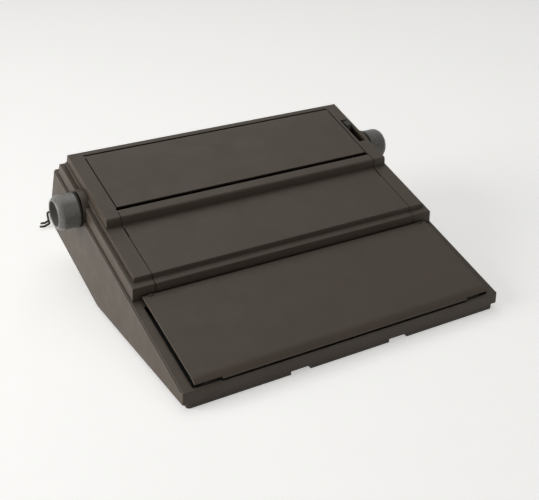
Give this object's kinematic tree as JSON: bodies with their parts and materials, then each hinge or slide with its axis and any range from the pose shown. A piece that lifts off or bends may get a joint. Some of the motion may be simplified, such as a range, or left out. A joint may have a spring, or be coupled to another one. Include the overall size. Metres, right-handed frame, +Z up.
{
  "type": "electric typewriter",
  "caption": "Low, wedge-shaped portable electronic typewriter with its covers closed, a knob on each side and its lead coiled behind.",
  "frame": {"origin": "middle of the machine's footprint, on the surface it stands on", "axes": "+Z up, +Y to the back of the machine, +X to its right"},
  "size_m": [0.4462, 0.5092, 0.15],
  "materials": {
    "case": "fine grained",
    "knob": "smooth",
    "rubber": "matte",
    "steel": "brushed",
    "gear": "satin",
    "frame": "satin",
    "board": "lacquered",
    "black": "satin",
    "cord": "satin",
    "tie": "satin",
    "lever": "satin",
    "key": "satin"
  },
  "bodies": {
    "base": {"lower_case": "case", "rubber_feet": "rubber", "upper_case": "case", "hinge_pins": "steel", "platen_bushes": "gear", "line_feed_motor": "steel", "paper_pan": "steel", "side_frame_left": "frame", "side_frame_right": "frame", "guide_rods": "steel", "carriage_motor": "steel", "drive_belt": "rubber", "key_plate": "frame", "keyboard_board": "board", "main_board": "board", "transformer": "steel", "power_switch_body": "black", "board_screws": "steel", "strain_relief": "rubber", "mains_cord": "cord", "cord_coil": "cord", "mains_plug": "cord", "cord_tie": "tie"},
    "rear_lid": {"rear_lid": "case"},
    "access_cover": {"access_cover": "case"},
    "keyboard_cover": {"keyboard_cover": "case"},
    "platen": {"platen_shaft": "steel", "platen_rubber": "rubber", "knob_left": "knob", "knob_right": "knob", "knob_washers": "rubber", "line_feed_gear": "gear"},
    "line_feed_pinion": {"line_feed_pinion": "gear"},
    "paper_release_lever": {"paper_release_lever": "lever"},
    "front_feed_roller": {"front_feed_roller": "rubber"},
    "rear_feed_roller": {"rear_feed_roller": "rubber"},
    "paper_bail": {"paper_bail": "steel"},
    "bail_rollers": {"bail_rollers": "rubber"},
    "carriage": {"carriage_frame": "black", "wheel_motor": "steel", "hammer_solenoid": "steel", "ribbon_cassette": "black"},
    "print_wheel": {"print_wheel": "gear"},
    "print_hammer": {"print_hammer": "steel"},
    "drive_pulley": {"drive_pulley": "gear"},
    "idler_pulley": {"idler_pulley": "gear"},
    "power_switch": {"power_switch_rocker": "black"},
    "letter_keys": {"letter_keys": "key"},
    "number_keys": {"number_keys": "key"},
    "function_keys": {"function_keys": "key"},
    "space_bar": {"space_bar": "key"},
    "shift_key_left": {"shift_key_left": "key"},
    "shift_key_right": {"shift_key_right": "key"},
    "shift_lock_key": {"shift_lock_key": "key"},
    "return_key": {"return_key": "key"},
    "tab_key": {"tab_key": "key"},
    "backspace_key": {"backspace_key": "key"},
    "code_key": {"code_key": "key"},
    "correction_key": {"correction_key": "key"}
  },
  "joints": [
    {"name": "rear_lid_hinge", "type": "hinge", "parent": "base", "child": "rear_lid", "pos_m": [0, 0.11561, 0.14591], "axis": [-1, 0, 0], "range_deg": [0, 105]},
    {"name": "access_cover_hinge", "type": "hinge", "parent": "base", "child": "access_cover", "pos_m": [0, 0.02123, 0.1167], "axis": [-1, 0, 0], "range_deg": [0, 95]},
    {"name": "keyboard_cover_hinge", "type": "hinge", "parent": "base", "child": "keyboard_cover", "pos_m": [0, -0.07622, 0.06272], "axis": [-1, 0, 0], "range_deg": [0, 100]},
    {"name": "platen_turn", "type": "hinge", "parent": "base", "child": "platen", "pos_m": [0, 0.07392, 0.10475], "axis": [1, 0, 0], "continuous": true},
    {"name": "line_feed_pinion_turn", "type": "hinge", "parent": "base", "child": "line_feed_pinion", "pos_m": [0, 0.08776, 0.08513], "axis": [1, 0, 0], "continuous": true},
    {"name": "front_feed_roller_turn", "type": "hinge", "parent": "base", "child": "front_feed_roller", "pos_m": [0, 0.07278, 0.08147], "axis": [1, 0, 0], "continuous": true},
    {"name": "rear_feed_roller_turn", "type": "hinge", "parent": "base", "child": "rear_feed_roller", "pos_m": [0, 0.09611, 0.09762], "axis": [1, 0, 0], "continuous": true},
    {"name": "paper_release_turn", "type": "hinge", "parent": "base", "child": "paper_release_lever", "pos_m": [0, 0.07392, 0.10475], "axis": [1, 0, 0], "range_deg": [0, 50]},
    {"name": "paper_bail_lift", "type": "hinge", "parent": "base", "child": "paper_bail", "pos_m": [0, 0.10611, 0.12047], "axis": [-1, 0, 0], "range_deg": [0, 5], "stiffness_Nm_per_rad": 0.3, "springref_deg": -5.73},
    {"name": "bail_roller_turn", "type": "hinge", "parent": "paper_bail", "child": "bail_rollers", "pos_m": [0, 0.0542, 0.11514], "axis": [1, 0, 0], "continuous": true},
    {"name": "carriage_slide", "type": "slide", "parent": "base", "child": "carriage", "axis": [1, 0, 0], "range_m": [-0.11, 0.11]},
    {"name": "print_wheel_turn", "type": "hinge", "parent": "carriage", "child": "print_wheel", "pos_m": [0, 0.06356, 0.06856], "axis": [0, 0.9553, 0.2957], "continuous": true},
    {"name": "print_hammer_strike", "type": "slide", "parent": "carriage", "child": "print_hammer", "axis": [0, 0.9553, 0.2957], "range_m": [0, 0.0025], "stiffness_N_per_m": 60, "springref_m": -0.002},
    {"name": "drive_pulley_turn", "type": "hinge", "parent": "base", "child": "drive_pulley", "pos_m": [-0.142, -0.01182, 0.03476], "axis": [0, -0.2957, 0.9553], "continuous": true},
    {"name": "idler_pulley_turn", "type": "hinge", "parent": "base", "child": "idler_pulley", "pos_m": [0.142, -0.01182, 0.03476], "axis": [0, -0.2957, 0.9553], "continuous": true},
    {"name": "power_switch_rock", "type": "hinge", "parent": "base", "child": "power_switch", "pos_m": [-0.075, 0.15593, 0.07936], "axis": [0, -0.2957, 0.9553], "range_deg": [0, 16]},
    {"name": "letter_keys_press", "type": "slide", "parent": "base", "child": "letter_keys", "axis": [0, 0.2957, -0.9553], "range_m": [0, 0.0035], "stiffness_N_per_m": 4080, "springref_m": -0.003},
    {"name": "number_keys_press", "type": "slide", "parent": "base", "child": "number_keys", "axis": [0, 0.2957, -0.9553], "range_m": [0, 0.0035], "stiffness_N_per_m": 1560, "springref_m": -0.003},
    {"name": "function_keys_press", "type": "slide", "parent": "base", "child": "function_keys", "axis": [0, 0.2957, -0.9553], "range_m": [0, 0.0035], "stiffness_N_per_m": 1200, "springref_m": -0.003},
    {"name": "space_bar_press", "type": "slide", "parent": "base", "child": "space_bar", "axis": [0, 0.2957, -0.9553], "range_m": [0, 0.0035], "stiffness_N_per_m": 240, "springref_m": -0.003},
    {"name": "shift_key_left_press", "type": "slide", "parent": "base", "child": "shift_key_left", "axis": [0, 0.2957, -0.9553], "range_m": [0, 0.0035], "stiffness_N_per_m": 120, "springref_m": -0.003},
    {"name": "shift_key_right_press", "type": "slide", "parent": "base", "child": "shift_key_right", "axis": [0, 0.2957, -0.9553], "range_m": [0, 0.0035], "stiffness_N_per_m": 120, "springref_m": -0.003},
    {"name": "shift_lock_key_press", "type": "slide", "parent": "base", "child": "shift_lock_key", "axis": [0, 0.2957, -0.9553], "range_m": [0, 0.0035], "stiffness_N_per_m": 120, "springref_m": -0.003},
    {"name": "return_key_press", "type": "slide", "parent": "base", "child": "return_key", "axis": [0, 0.2957, -0.9553], "range_m": [0, 0.0035], "stiffness_N_per_m": 120, "springref_m": -0.003},
    {"name": "tab_key_press", "type": "slide", "parent": "base", "child": "tab_key", "axis": [0, 0.2957, -0.9553], "range_m": [0, 0.0035], "stiffness_N_per_m": 120, "springref_m": -0.003},
    {"name": "backspace_key_press", "type": "slide", "parent": "base", "child": "backspace_key", "axis": [0, 0.2957, -0.9553], "range_m": [0, 0.0035], "stiffness_N_per_m": 120, "springref_m": -0.003},
    {"name": "code_key_press", "type": "slide", "parent": "base", "child": "code_key", "axis": [0, 0.2957, -0.9553], "range_m": [0, 0.0035], "stiffness_N_per_m": 120, "springref_m": -0.003},
    {"name": "correction_key_press", "type": "slide", "parent": "base", "child": "correction_key", "axis": [0, 0.2957, -0.9553], "range_m": [0, 0.0035], "stiffness_N_per_m": 120, "springref_m": -0.003}
  ],
  "couplings": [
    {"joint": "line_feed_pinion_turn", "follows": "platen_turn", "ratio": -3},
    {"joint": "front_feed_roller_turn", "follows": "platen_turn", "ratio": -2.8333},
    {"joint": "rear_feed_roller_turn", "follows": "platen_turn", "ratio": -2.8333}
  ]
}
